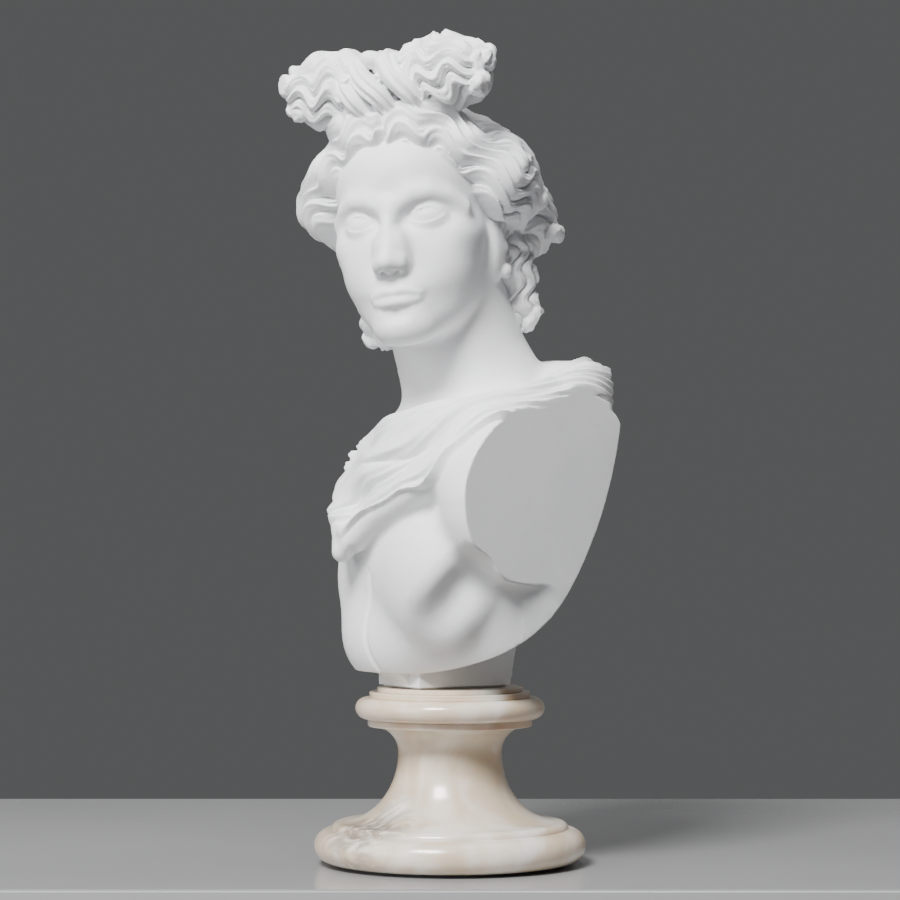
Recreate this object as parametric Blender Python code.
"""A draped marble bust on a turned alabaster socle, held together by one threaded rod.

Metres, +Z up. The origin is the centre of the felt pad's underside, on the socle's axis. The
chest faces -Y and the figure's left arm is at +X; the head is turned towards that shoulder.
"""

import math

import bmesh
import bpy
from mathutils import Euler, Matrix, Vector

# Clearance kept between any two touching pieces
GAP = 0.0003

# Felt pad under the foot
FELT_THICKNESS = 0.002
FELT_RADIUS = 0.088

# Socle, turned from one block. Heights are of each moulding, from the foot up.
FOOT_RADIUS = 0.106
FOOT_HEIGHT = 0.0255
FOOT_STEP_RADIUS = 0.0925
FOOT_STEP_HEIGHT = 0.0055
FLARE_RADIUS = 0.086
FLARE_HEIGHT = 0.0540
WAIST_RADIUS = 0.0405
THROAT_HEIGHT = 0.0203
THROAT_RADIUS = 0.0614
FILLET_RADIUS = 0.0643
FILLET_HEIGHT = 0.0057
COLLAR_RADIUS = 0.0740
COLLAR_HEIGHT = 0.0165
STEP_RADIUS = 0.0630
STEP_HEIGHT = 0.0045
TABLE_RADIUS = 0.0570
TABLE_HEIGHT = 0.0037
TURNED_SIDES = 48

# Threaded rod and what it passes through
ROD_RADIUS = 0.006
ROD_IN_BUST = 0.050
ROD_TAIL = 0.004
BORE_CLEARANCE = 0.001
COUNTERBORE_CLEARANCE = 0.003
COUNTERBORE_DEPTH = 0.030
ANCHOR_WALL = 0.004
ANCHOR_FLANGE = 0.003
ANCHOR_FLANGE_THICKNESS = 0.0025
ANCHOR_LENGTH = 0.058
WASHER_RADIUS = 0.020
WASHER_THICKNESS = 0.003
COUNTERBORE_RADIUS = WASHER_RADIUS + COUNTERBORE_CLEARANCE
SPRING_RADIUS = 0.0105
SPRING_THICKNESS = 0.0025
SPRING_SLOT = 0.0015
NUT_ACROSS_FLATS = 0.019
NUT_HEIGHT = 0.010
NUT_SIDES = 6
ROUND_SIDES = 32

# Two dowels that stop the bust turning on the rod
DOWEL_RADIUS = 0.004
DOWEL_LENGTH = 0.032
DOWEL_SPACING = 0.054
DOWEL_CENTRE_Y = -0.005

# Bedding pad between the bust's foot and the socle
BED_THICKNESS = 0.001
BED_INSET = 0.003

# Pillar that carries the bust, and the small tablet in front of it
PILLAR_WIDTH = 0.064
PILLAR_FRONT = 0.046
PILLAR_BACK = 0.036
PILLAR_HEIGHT = 0.175
PILLAR_TOP_WIDTH = 0.078
PILLAR_TOP_BACK = 0.062
TABLET_WIDTH = 0.036
TABLET_HEIGHT = 0.030
TABLET_REACH = 0.012
EDGE_ROUNDING = 0.0015

# Figure
HEAD_HEIGHT = 0.190
HEAD_TURN = math.radians(40)
HEAD_LEAN = math.radians(-5.8)
ARM_CUT = 0.1106
ARM_CUT_TURN = math.radians(14)
WALL = 0.018
VOXEL = 0.0032
SOFTEN_FACTOR = 0.5
SOFTEN_PASSES = 8
BUST_TRIANGLES = 5200
LIMB_SIDES = 24
BALL_SUBDIVISIONS = 3

# The figure is drawn 190 units to the height of the head, from its foot on the socle upwards.
UNIT = HEAD_HEIGHT / 190
HEAD_CENTRE = (-4, -21.5, 357)

# Solid forms of the torso: a centre and radii, or a limb of (x, y, z, radius) points. The left
# shoulder comes forward and the right one is set back.
CHEST = [
    ((0, 10, 105), (108, 84, 128)),
    ((2, 6, 150), (86, 62, 70)),
]
LEFT_SIDE = [
    ((50, -42, 86), (54, 38, 56)),
    ((112, -2, 142), (58, 64, 62)),
    ((84, 42, 56), (40, 54, 60)),
    ((92, 58, 110), (30, 50, 70)),
    [(0, 40, 215, 38), (95, 18, 178, 34)],
    [(10, -40, 190, 18), (95, -18, 188, 22)],
]
RIGHT_SIDE = [
    ((-40, -34, 80), (46, 34, 54)),
    ((-98, 24, 138), (48, 52, 56)),
    ((-84, 44, 56), (38, 50, 58)),
    ((-90, 60, 110), (30, 46, 66)),
    [(0, 44, 212, 36), (-84, 36, 176, 28)],
    [(-5, -28, 184, 18), (-80, 12, 174, 20)],
]
NECK = [(0, 42, 190, 60), (-2, 12, 256, 51), (-3, -8, 312, 48)]
CLOAK = [
    [(-6, -90, 103, 10), (-24, -78, 126, 14), (-28, -66, 146, 17), (-24, -50, 166, 17), (-18, -36, 182, 16)],
    [(-28, -60, 152, 16), (10, -62, 166, 18), (48, -42, 192, 22), (84, 2, 200, 27), (84, 54, 208, 30),
     (50, 84, 226, 32), (0, 94, 228, 33), (-50, 84, 220, 30), (-80, 56, 200, 25), (-82, 30, 182, 22),
     (-56, -8, 178, 18), (-24, -38, 176, 17)],
    [(0, -86, 112, 11), (26, -80, 132, 12), (60, -68, 150, 14), (92, -46, 172, 17), (108, 8, 188, 21),
     (100, 60, 184, 21)],
]
# Forms of the head, about its own centre: face to -Y. A side form is repeated at -X.
HEAD = [
    ((0, 6, 24), (63, 78, 71)),
    ((0, -22, 36), (55, 54, 42)),
    ((0, -24, -22), (51, 52, 58)),
    ((0, -32, -56), (36, 41, 34)),
    ((0, -52, -72), (27, 29, 24)),
    ((0, -46, -44), (40, 36, 40)),
    ((0, 22, 22), (86, 79, 80)),
    ((0, 72, -14), (55, 30, 38)),
    ((0, -46, 93), (24, 26, 31)),
    ((0, -44, 76), (50, 28, 22)),
    [(0, -70, 8, 9), (0, -79, -14, 10), (0, -85, -32, 11)],
]
HEAD_SIDES = [
    ((24, -38, -38), (26, 28, 34)),
    ((64, 12, -20), (9, 14, 25)),
    ((74, -6, 24), (26, 38, 38)),
    ((62, 42, 6), (32, 36, 38)),
    ((44, -47, 109), (41, 36, 34)),
    [(0, -62, 66, 13), (28, -58, 62, 15), (54, -40, 46, 18), (72, -14, 24, 22)],
    [(64, 38, -34, 14), (62, 42, -60, 13), (56, 44, -80, 10)],
]
# The form cut out of the back: centre and the half sizes of the chest around it
HOLLOW_CENTRE = (0, 52, 96)
HOLLOW_AROUND = (110, 96, 126)
# The back is cut off along this arc, seen from the side: centre (y, z), half sizes and power
RIM_CENTRE = (-50, 226)
RIM_REACH = (154, 215)
RIM_POWER = 1.7
RIM_POINTS = 24

# Steps of the turned outline's round mouldings
TORUS_STEPS = 8
COVE_STEPS = 7
SMALL_STEPS = 4
# The coves stop short of meeting their fillets at a knife edge, by this angle in degrees
COVE_LIP = 5
TABLET_STEPS = 5
# Edges sharper than this, in degrees, stay crisp in the shading
SHARP_ANGLE = 35
# Points nearer than this are one
MERGE = 1e-6

# Levels worked out from the values above
SOCLE_FOOT = FELT_THICKNESS + GAP
SOCLE_HEIGHT = (
    FOOT_HEIGHT + FOOT_STEP_HEIGHT + FLARE_HEIGHT + THROAT_HEIGHT + FILLET_HEIGHT
    + COLLAR_HEIGHT + STEP_HEIGHT + TABLE_HEIGHT
)
SOCLE_TOP = SOCLE_FOOT + SOCLE_HEIGHT
BUST_FOOT = SOCLE_TOP + GAP + BED_THICKNESS + GAP
WASHER_TOP = SOCLE_FOOT + COUNTERBORE_DEPTH - GAP
SPRING_TOP = WASHER_TOP - WASHER_THICKNESS - GAP
NUT_TOP = SPRING_TOP - SPRING_THICKNESS - GAP
ROD_BOTTOM = NUT_TOP - NUT_HEIGHT - ROD_TAIL
ROD_HOLE = ROD_RADIUS + GAP
ANCHOR_RADIUS = ROD_HOLE + ANCHOR_WALL
TINY = 0.002
# Past anything on the bust, for cutters
BEYOND = 4 * HEAD_HEIGHT


def clear_scene():
    for obj in list(bpy.data.objects):
        bpy.data.objects.remove(obj)


def material(name, colour, roughness, metallic=0.0):
    mat = bpy.data.materials.new(name)
    mat.use_nodes = True
    shader = mat.node_tree.nodes["Principled BSDF"]
    shader.inputs["Base Color"].default_value = (*colour, 1.0)
    shader.inputs["Roughness"].default_value = roughness
    shader.inputs["Metallic"].default_value = metallic
    return mat


def finish_object(name, bm, mat=None, smooth=True):
    """Turns a bmesh into a named object in the scene."""
    bmesh.ops.recalc_face_normals(bm, faces=bm.faces)
    mesh = bpy.data.meshes.new(name)
    bm.to_mesh(mesh)
    bm.free()
    if smooth:
        mesh.shade_smooth()
        mesh.set_sharp_from_angle(angle=math.radians(SHARP_ANGLE))
    obj = bpy.data.objects.new(name, mesh)
    bpy.context.scene.collection.objects.link(obj)
    if mat:
        mesh.materials.append(mat)
    return obj


def helper(obj):
    """Marks an object as a cutter or guide, which isn't a piece."""
    obj.hide_render = True
    obj.display_type = "WIRE"
    return obj


def boolean(obj, other, operation):
    cut = obj.modifiers.new(f"{operation.lower()} {other.name}", "BOOLEAN")
    cut.operation = operation
    cut.object = helper(other)
    return cut


def turned(name, profile, mat=None, sides=TURNED_SIDES):
    """Revolves a closed outline of (radius, height) points about Z."""
    bm = bmesh.new()
    rings = [bm.verts.new((radius, 0, height)) for radius, height in profile]
    edges = [bm.edges.new((a, b)) for a, b in zip(rings, rings[1:] + rings[:1])]
    bmesh.ops.spin(
        bm, geom=rings + edges, cent=(0, 0, 0), axis=(0, 0, 1),
        angle=math.tau, steps=sides, use_merge=True,
    )
    bmesh.ops.remove_doubles(bm, verts=bm.verts, dist=MERGE)
    return finish_object(name, bm, mat)


def tube(name, inner, outer, bottom, top, mat=None, sides=ROUND_SIDES):
    return turned(name, [(inner, bottom), (outer, bottom), (outer, top), (inner, top)], mat, sides)


def cylinder(name, radius, bottom, top, centre=(0, 0), mat=None, sides=ROUND_SIDES):
    bm = bmesh.new()
    middle = Vector((*centre, (bottom + top) / 2))
    bmesh.ops.create_cone(
        bm, cap_ends=True, segments=sides, radius1=radius, radius2=radius,
        depth=top - bottom, matrix=Matrix.Translation(middle),
    )
    return finish_object(name, bm, mat)


def prism(name, outline, near, far, mat=None):
    """Extrudes an outline of (y, z) points from x = near to x = far."""
    bm = bmesh.new()
    face = bm.faces.new([bm.verts.new((near, y, z)) for y, z in outline])
    made = bmesh.ops.extrude_face_region(bm, geom=[face])
    moved = [v for v in made["geom"] if isinstance(v, bmesh.types.BMVert)]
    bmesh.ops.translate(bm, verts=moved, vec=(far - near, 0, 0))
    return finish_object(name, bm, mat, smooth=False)


def arc(centre, reach, start, end, points):
    """Points of an elliptical arc in the (radius, height) plane, angles in degrees."""
    for i in range(points + 1):
        angle = math.radians(start + (end - start) * i / points)
        yield centre[0] + reach[0] * math.cos(angle), centre[1] + reach[1] * math.sin(angle)


def socle_outline():
    """The turned outline, from the foot's underside up to the top, and back down the bore."""
    z = SOCLE_FOOT
    half = FOOT_HEIGHT / 2
    outline = list(arc((FOOT_RADIUS - half, z + half), (half, half), -90, 90, TORUS_STEPS))
    z += FOOT_HEIGHT
    ovolo = FOOT_STEP_RADIUS - FLARE_RADIUS
    outline += arc((FLARE_RADIUS, z), (ovolo, FOOT_STEP_HEIGHT), 0, 90, SMALL_STEPS)
    z += FOOT_STEP_HEIGHT + FLARE_HEIGHT
    flare = (FLARE_RADIUS - WAIST_RADIUS, FLARE_HEIGHT)
    throat = (THROAT_RADIUS - WAIST_RADIUS, THROAT_HEIGHT)
    outline += arc((FLARE_RADIUS, z), flare, 270 - COVE_LIP, 180, COVE_STEPS)
    outline += list(arc((THROAT_RADIUS, z), throat, 180, 90 + COVE_LIP, COVE_STEPS))[1:]
    z += THROAT_HEIGHT
    outline += [(FILLET_RADIUS, z), (FILLET_RADIUS, z + FILLET_HEIGHT)]
    z += FILLET_HEIGHT
    half = COLLAR_HEIGHT / 2
    outline += list(arc((COLLAR_RADIUS - half, z + half), (half, half), -90, 90, TORUS_STEPS))
    z += COLLAR_HEIGHT
    outline += [(STEP_RADIUS, z), (STEP_RADIUS, z + STEP_HEIGHT)]
    z += STEP_HEIGHT
    outline += [(TABLE_RADIUS, z), (TABLE_RADIUS, z + TABLE_HEIGHT)]
    bore = ROD_RADIUS + BORE_CLEARANCE
    ceiling = SOCLE_FOOT + COUNTERBORE_DEPTH
    outline += [(bore, SOCLE_TOP), (bore, ceiling)]
    outline += [(COUNTERBORE_RADIUS, ceiling), (COUNTERBORE_RADIUS, SOCLE_FOOT)]
    return outline


def dowel_centres():
    """Where the two dowels stand, one in front of the rod and one behind it."""
    for side in (-1, 1):
        yield 0, DOWEL_CENTRE_Y + side * DOWEL_SPACING / 2


def drill_dowel_holes(obj, bottom, top):
    for number, centre in enumerate(dowel_centres(), 1):
        drill = cylinder(f"{obj.name}_dowel_drill_{number}", DOWEL_RADIUS + GAP, bottom, top, centre)
        boolean(obj, drill, "DIFFERENCE")


def make_socle(stone):
    socle = turned("socle", socle_outline(), stone)
    drill_dowel_holes(socle, SOCLE_TOP - DOWEL_LENGTH / 2 - GAP, SOCLE_TOP + TINY)
    return socle


def make_felt(felt):
    return cylinder("felt_pad", FELT_RADIUS, 0, FELT_THICKNESS, mat=felt, sides=TURNED_SIDES)


def make_bedding(putty):
    bottom = SOCLE_TOP + GAP
    half = PILLAR_WIDTH / 2 - BED_INSET
    front, back = -PILLAR_FRONT + BED_INSET, PILLAR_BACK - BED_INSET
    outline = [(front, bottom), (back, bottom), (back, bottom + BED_THICKNESS), (front, bottom + BED_THICKNESS)]
    bed = prism("bedding_pad", outline, -half, half, putty)
    top = bottom + BED_THICKNESS + TINY
    hole = cylinder("bedding_hole", ANCHOR_RADIUS, bottom - TINY, top)
    boolean(bed, hole, "DIFFERENCE")
    drill_dowel_holes(bed, bottom - TINY, top)
    return bed


def make_fixings(steel, brass):
    """The rod with its anchor in the bust, and the washer, spring washer and nut under the socle."""
    outline = [
        (ROD_HOLE, BUST_FOOT),
        (ANCHOR_RADIUS + ANCHOR_FLANGE, BUST_FOOT),
        (ANCHOR_RADIUS + ANCHOR_FLANGE, BUST_FOOT + ANCHOR_FLANGE_THICKNESS),
        (ANCHOR_RADIUS, BUST_FOOT + ANCHOR_FLANGE_THICKNESS),
        (ANCHOR_RADIUS, BUST_FOOT + ANCHOR_LENGTH),
        (ROD_HOLE, BUST_FOOT + ANCHOR_LENGTH),
    ]
    turned("rod_anchor", outline, brass, ROUND_SIDES)
    cylinder("mounting_rod", ROD_RADIUS, ROD_BOTTOM, BUST_FOOT + ROD_IN_BUST, mat=steel)
    tube("plate_washer", ROD_HOLE, WASHER_RADIUS, WASHER_TOP - WASHER_THICKNESS, WASHER_TOP, steel)
    spring = tube("spring_washer", ROD_HOLE, SPRING_RADIUS, SPRING_TOP - SPRING_THICKNESS, SPRING_TOP, steel)
    low, high = SPRING_TOP - SPRING_THICKNESS - TINY, SPRING_TOP + TINY
    half = SPRING_SLOT / 2
    slot = prism("spring_slot", [(-half, low), (half, low), (half, high), (-half, high)], 0, SPRING_RADIUS + TINY)
    boolean(spring, slot, "DIFFERENCE")
    corner = NUT_ACROSS_FLATS / 2 / math.cos(math.pi / NUT_SIDES)
    nut = cylinder("hex_nut", corner, NUT_TOP - NUT_HEIGHT, NUT_TOP, mat=steel, sides=NUT_SIDES)
    hole = cylinder("nut_hole", ROD_HOLE, NUT_TOP - NUT_HEIGHT - TINY, NUT_TOP + TINY)
    boolean(nut, hole, "DIFFERENCE")


def make_dowels(steel):
    for name, centre in zip(("dowel_front", "dowel_back"), dowel_centres()):
        cylinder(name, DOWEL_RADIUS, SOCLE_TOP - DOWEL_LENGTH / 2, SOCLE_TOP + DOWEL_LENGTH / 2, centre, steel)


def add_form(bm, centre, radii, place=Matrix()):
    """Adds an ellipsoid in figure units, placed by a matrix."""
    shape = place @ Matrix.Translation(centre) @ Matrix.Diagonal((*radii, 1))
    bmesh.ops.create_icosphere(bm, subdivisions=BALL_SUBDIVISIONS, radius=1, matrix=shape)


def add_limb(bm, points, place=Matrix()):
    """Adds a round form through (x, y, z, radius) points: a ball at each and a cone between."""
    for x, y, z, radius in points:
        add_form(bm, (x, y, z), (radius,) * 3, place)
    for start, end in zip(points, points[1:]):
        a, b = Vector(start[:3]), Vector(end[:3])
        turn = (b - a).to_track_quat("Z", "Y").to_matrix().to_4x4()
        bmesh.ops.create_cone(
            bm, cap_ends=True, segments=LIMB_SIDES, radius1=start[3], radius2=end[3],
            depth=(b - a).length, matrix=place @ Matrix.Translation((a + b) / 2) @ turn,
        )


def mirrored(form):
    """The same form, or limb, on the figure's other side."""
    if isinstance(form, list):
        return [(-x, y, z, radius) for x, y, z, radius in form]
    (x, y, z), radii = form
    return (-x, y, z), radii


def add_all(bm, forms, place=Matrix()):
    for form in forms:
        if isinstance(form, list):
            add_limb(bm, form, place)
        else:
            add_form(bm, *form, place)


def figure_forms(bm):
    add_all(bm, CHEST + LEFT_SIDE + RIGHT_SIDE + [NECK] + CLOAK)
    turn = Euler((0, HEAD_LEAN, HEAD_TURN)).to_matrix().to_4x4()
    place = Matrix.Translation(HEAD_CENTRE) @ turn
    add_all(bm, HEAD + HEAD_SIDES + [mirrored(form) for form in HEAD_SIDES], place)


def to_size(bm):
    """From figure units to metres, standing on the socle."""
    size = Matrix.Translation((0, 0, BUST_FOOT)) @ Matrix.Scale(UNIT, 4)
    bmesh.ops.transform(bm, matrix=size, verts=bm.verts)


def fused(obj):
    """Melts a heap of crossing forms into one soft skin with few triangles."""
    remesh = obj.modifiers.new("fuse", "REMESH")
    remesh.mode = "VOXEL"
    remesh.voxel_size = VOXEL
    soften = obj.modifiers.new("soften", "SMOOTH")
    soften.factor = SOFTEN_FACTOR
    soften.iterations = SOFTEN_PASSES
    bpy.context.view_layer.update()
    faces = len(obj.evaluated_get(bpy.context.evaluated_depsgraph_get()).data.polygons)
    thin = obj.modifiers.new("thin", "DECIMATE")
    thin.ratio = BUST_TRIANGLES / (2 * faces)
    return obj


def rim_outline():
    """The side view of what is cut off behind and below the bust."""
    outline = []
    for i in range(RIM_POINTS + 1):
        angle = math.radians(90 * i / RIM_POINTS)
        y = RIM_CENTRE[0] + RIM_REACH[0] * math.sin(angle) ** (2 / RIM_POWER)
        z = RIM_CENTRE[1] - RIM_REACH[1] * math.cos(angle) ** (2 / RIM_POWER)
        outline.append((y * UNIT, z * UNIT + BUST_FOOT))
    (_, front_z), (back_y, _) = outline[0], outline[-1]
    return outline + [(back_y, BEYOND), (BEYOND, BEYOND), (BEYOND, -BEYOND), (-BEYOND, -BEYOND), (-BEYOND, front_z)]


def arm_cut(name, side):
    """All that lies beyond the flat end of one shoulder, which turns a little to the back."""
    block = [(-BEYOND, -BEYOND), (BEYOND, -BEYOND), (BEYOND, BEYOND), (-BEYOND, BEYOND)]
    cutter = prism(name, block, *sorted((side * ARM_CUT, side * BEYOND)))
    cutter.data.transform(Matrix.Rotation(side * ARM_CUT_TURN, 4, "Z"))
    return cutter


def hollow():
    bm = bmesh.new()
    add_form(bm, HOLLOW_CENTRE, [around - WALL / UNIT for around in HOLLOW_AROUND])
    to_size(bm)
    return finish_object("hollow_back", bm)


def pillar():
    """The block that carries the bust: upright in front and wider towards the back of the neck."""
    bm = bmesh.new()
    corners = []
    for z, half, back in (
        (BUST_FOOT, PILLAR_WIDTH / 2, PILLAR_BACK),
        (BUST_FOOT + PILLAR_HEIGHT, PILLAR_TOP_WIDTH / 2, PILLAR_TOP_BACK),
    ):
        for x, y in ((-half, -PILLAR_FRONT), (half, -PILLAR_FRONT), (half, back), (-half, back)):
            corners.append(bm.verts.new((x, y, z)))
    bm.faces.new(corners[:4])
    bm.faces.new(corners[4:])
    for i in range(4):
        j = (i + 1) % 4
        bm.faces.new((corners[i], corners[j], corners[4 + j], corners[4 + i]))
    bmesh.ops.bevel(
        bm, geom=[e for e in bm.edges], offset=EDGE_ROUNDING, segments=1, affect="EDGES"
    )
    return finish_object("pillar", bm)


def tablet():
    """The small blank tablet with a hollow under it, in front of the pillar."""
    front = -PILLAR_FRONT - TABLET_REACH
    top = BUST_FOOT + TABLET_HEIGHT
    outline = [(-PILLAR_FRONT + TINY, BUST_FOOT), (-PILLAR_FRONT - TINY, BUST_FOOT)]
    reach = TABLET_REACH - TINY
    outline += list(arc((-PILLAR_FRONT - TINY, BUST_FOOT + reach), (reach, reach), 270, 180, TABLET_STEPS))[1:]
    outline += [(front, top), (-PILLAR_FRONT + TINY, top)]
    return prism("tablet", outline, -TABLET_WIDTH / 2, TABLET_WIDTH / 2)


def make_bust(stone):
    bm = bmesh.new()
    figure_forms(bm)
    to_size(bm)
    bust = fused(finish_object("bust", bm, stone))
    boolean(bust, arm_cut("right_arm_cut", -1), "DIFFERENCE")
    boolean(bust, arm_cut("left_arm_cut", 1), "DIFFERENCE")
    boolean(bust, prism("rim_cut", rim_outline(), -BEYOND, BEYOND), "DIFFERENCE")
    boolean(bust, hollow(), "DIFFERENCE")
    boolean(bust, pillar(), "UNION")
    boolean(bust, tablet(), "UNION")
    flange = cylinder(
        "flange_recess", ANCHOR_RADIUS + ANCHOR_FLANGE + GAP, BUST_FOOT - TINY,
        BUST_FOOT + ANCHOR_FLANGE_THICKNESS + GAP,
    )
    bore = cylinder("anchor_bore", ANCHOR_RADIUS + GAP, BUST_FOOT - TINY, BUST_FOOT + ANCHOR_LENGTH + GAP)
    boolean(bust, flange, "DIFFERENCE")
    boolean(bust, bore, "DIFFERENCE")
    drill_dowel_holes(bust, BUST_FOOT - TINY, SOCLE_TOP + DOWEL_LENGTH / 2 + GAP)
    return bust


def main():
    clear_scene()
    marble = material("marble", (0.86, 0.86, 0.87), 0.5)
    alabaster = material("alabaster", (0.80, 0.73, 0.64), 0.3)
    steel = material("zinc_steel", (0.62, 0.63, 0.64), 0.35, 1.0)
    brass = material("brass", (0.72, 0.55, 0.28), 0.35, 1.0)
    felt = material("felt", (0.10, 0.10, 0.11), 0.95)
    putty = material("bedding", (0.75, 0.74, 0.70), 0.8)
    make_felt(felt)
    make_socle(alabaster)
    make_bedding(putty)
    make_fixings(steel, brass)
    make_dowels(steel)
    make_bust(marble)


main()
